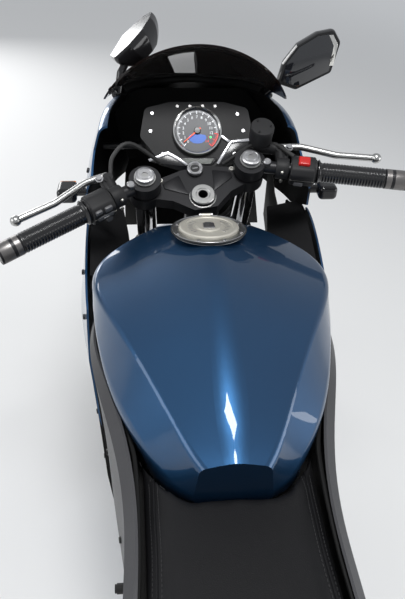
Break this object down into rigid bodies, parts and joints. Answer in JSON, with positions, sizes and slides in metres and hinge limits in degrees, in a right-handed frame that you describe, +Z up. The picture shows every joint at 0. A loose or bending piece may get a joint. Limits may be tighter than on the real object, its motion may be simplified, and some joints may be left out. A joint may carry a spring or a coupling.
{
  "type": "sport motorcycle",
  "caption": "Light sport motorcycle with full fairing, parked on its side stand with the bars turned; steering, both wheels, stand and fuel cap move.",
  "frame": {"origin": "bottom centre of the box round the parked machine, on the ground", "axes": "+X forwards, +Y to the rider's left, +Z up; the machine leans to +Y on its side stand"},
  "size_m": [2.0305, 0.677, 1.1446],
  "materials": {
    "black_plastic": "fine grained",
    "blue_paint": "deep metallic blue under clear coat",
    "cast_grey": "sand-cast, bead-blasted",
    "chain_steel": "oiled",
    "dark_aluminium": "satin black anodised",
    "exhaust_steel": "satin, heat tinted",
    "frame_paint": "satin black enamel",
    "gloss_plastic": "moulded gloss",
    "grey_plastic": "satin dark grey",
    "grip_rubber": "ribbed",
    "lamp_lens": "clear",
    "red_lens": "red lens",
    "silver_aluminium": "fine brushed, anodised",
    "smoke_screen": "dark smoke acrylic",
    "steel": "ground",
    "tyre_rubber": "worn road tread",
    "vinyl": "grained black vinyl"
  },
  "bodies": {
    "chassis": {"frame": "frame_paint", "engine": "cast_grey", "swingarm": "frame_paint", "rear_shock": "steel", "drive_chain": "chain_steel", "chain_guard": "black_plastic", "rear_caliper": "cast_grey", "radiator": "dark_aluminium", "exhaust": "exhaust_steel", "fuel_tank": "blue_paint", "filler_ring": "silver_aluminium", "seat_rider": "vinyl", "seat_pillion": "vinyl", "tail_cowl": "blue_paint", "tail_lamp": "red_lens", "rear_fender": "black_plastic", "side_covers": "grey_plastic", "upper_cowl": "blue_paint", "headlamp": "lamp_lens", "windscreen": "smoke_screen", "side_cowl_left": "blue_paint", "side_cowl_right": "blue_paint", "belly_pan": "blue_paint", "inner_panels": "black_plastic", "instrument_panel": "black_plastic", "mirrors": "gloss_plastic", "turn_signals": "gloss_plastic", "foot_controls": "dark_aluminium"},
    "steering": {"fork_legs": "silver_aluminium", "fork_yokes": "dark_aluminium", "clip_on_bars": "dark_aluminium", "grips": "grip_rubber", "hand_controls": "black_plastic", "levers": "silver_aluminium", "front_fender": "blue_paint", "front_caliper": "cast_grey", "front_brake_hose": "grip_rubber"},
    "front_wheel": {"front_rim": "dark_aluminium", "front_tyre": "tyre_rubber", "front_disc": "steel"},
    "rear_wheel": {"rear_rim": "dark_aluminium", "rear_tyre": "tyre_rubber", "rear_disc": "steel", "rear_sprocket": "steel"},
    "side_stand": {"side_stand": "steel"},
    "fuel_cap": {"fuel_cap": "silver_aluminium"}
  },
  "joints": [
    {"name": "steering_turn", "type": "hinge", "parent": "chassis", "child": "steering", "pos_m": [0.48998, -0.02289, 0.70159], "axis": [-0.4211, 0.1496, 0.8946], "range_deg": [-38, 16]},
    {"name": "front_wheel_spin", "type": "hinge", "parent": "steering", "child": "front_wheel", "pos_m": [0.72567, -0.08501, 0.28637], "axis": [-0.1733, 0.9549, -0.2413], "continuous": true},
    {"name": "rear_wheel_spin", "type": "hinge", "parent": "chassis", "child": "rear_wheel", "pos_m": [-0.64367, -0.08859, 0.31089], "axis": [-0.0003, 0.9863, -0.165], "continuous": true},
    {"name": "side_stand_swing", "type": "hinge", "parent": "chassis", "child": "side_stand", "pos_m": [-0.02079, 0.01921, 0.23907], "axis": [-0.1932, 0.9811, 0.0086], "range_deg": [0, 92]},
    {"name": "fuel_cap_lid", "type": "hinge", "parent": "chassis", "child": "fuel_cap", "pos_m": [0.33909, 0.00864, 0.89026], "axis": [-0.0003, 0.9863, -0.165], "range_deg": [0, 90]}
  ]
}
